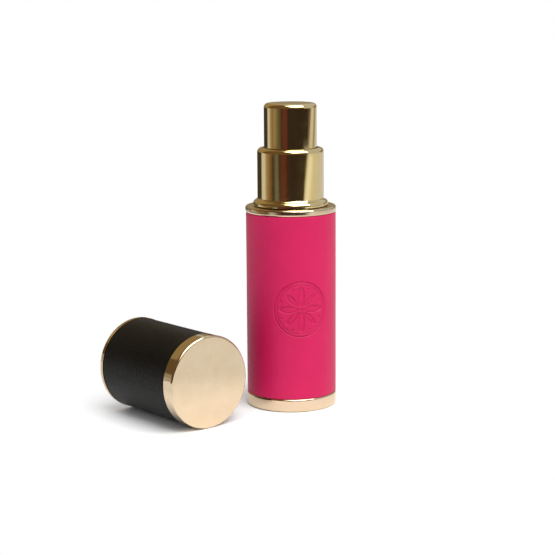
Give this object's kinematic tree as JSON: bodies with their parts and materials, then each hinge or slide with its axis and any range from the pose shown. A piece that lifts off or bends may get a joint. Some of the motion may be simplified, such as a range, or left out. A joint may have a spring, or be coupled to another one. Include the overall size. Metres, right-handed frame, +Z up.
{
  "type": "perfume atomiser bottle",
  "caption": "Slim refillable perfume spray bottle in a leather cover with gold bands and a two-step gold pump, its leather-covered cap lying beside it.",
  "frame": {"origin": "centre of the base's underside, on the bottle's axis, on the surface it stands on", "axes": "+Z up the bottle's axis; +X along the lying cap from its mouth to its closed end; the cap lies on the -Y side and the nozzle faces +Y"},
  "size_m": [0.0396, 0.062, 0.0871],
  "materials": {
    "polished_gold": "mirror-polished gold plate",
    "gold_bands": "polished pale gold plate",
    "pink_leather": "smooth fine-grained leather",
    "black_leather": "fine pebble-grained leather",
    "clear_glass": "clear",
    "white_plastic": "moulded polypropylene",
    "clear_plastic": "natural polyethylene tube",
    "black_plastic": "moulded",
    "bare_aluminium": "drawn",
    "spring_steel": "drawn stainless wire and ball",
    "grey_rubber": "soft moulded"
  },
  "bodies": {
    "bottle": {"base_shell": "gold_bands", "base_insert": "black_plastic", "vial_cushion": "grey_rubber", "case_tube": "bare_aluminium", "leather_sleeve": "pink_leather", "shoulder_ring": "gold_bands", "vial_retainer": "white_plastic", "vial": "clear_glass"},
    "gasket": {"neck_gasket": "grey_rubber"},
    "pump": {"pump_housing": "white_plastic", "dip_tube": "clear_plastic", "pump_gland": "white_plastic", "return_spring": "spring_steel"},
    "ball": {"check_ball": "spring_steel"},
    "closure": {"closure_insert": "white_plastic", "collar_shell": "polished_gold"},
    "actuator": {"actuator_shell": "polished_gold", "actuator_core": "white_plastic", "nozzle_insert": "white_plastic", "stem": "white_plastic", "piston": "white_plastic"},
    "cap": {"cap_end_shell": "gold_bands", "cap_tube": "bare_aluminium", "cap_leather": "black_leather", "cap_mouth_ring": "gold_bands", "cap_liner": "black_plastic"}
  },
  "joints": [
    {"name": "pump_lift", "type": "slide", "parent": "bottle", "child": "gasket", "axis": [0, 0, 1], "range_m": [0, 0.062]},
    {"name": "thread_rise", "type": "slide", "parent": "gasket", "child": "pump", "axis": [0, 0, 1], "range_m": [0, 0.004]},
    {"name": "closure_turn", "type": "hinge", "parent": "pump", "child": "closure", "pos_m": [0, 0, 0.06], "axis": [0, 0, 1], "range_deg": [0, 480]},
    {"name": "spray_press", "type": "slide", "parent": "pump", "child": "actuator", "axis": [0, 0, -1], "range_m": [0, 0.0045], "stiffness_N_per_m": 400, "springref_m": -0.006, "deforming": ["return_spring"]},
    {"name": "ball_lift", "type": "slide", "parent": "pump", "child": "ball", "axis": [0, 0, 1], "range_m": [0, 0.0006]},
    {"name": "cap_stand_up", "type": "hinge", "parent": "bottle", "child": "cap", "pos_m": [-0.0266, -0.036, 0], "axis": [0, -1, 0], "range_deg": [0, 90]}
  ],
  "couplings": [
    {"joint": "closure_turn", "follows": "thread_rise", "rad_per_m": 2094.4}
  ]
}
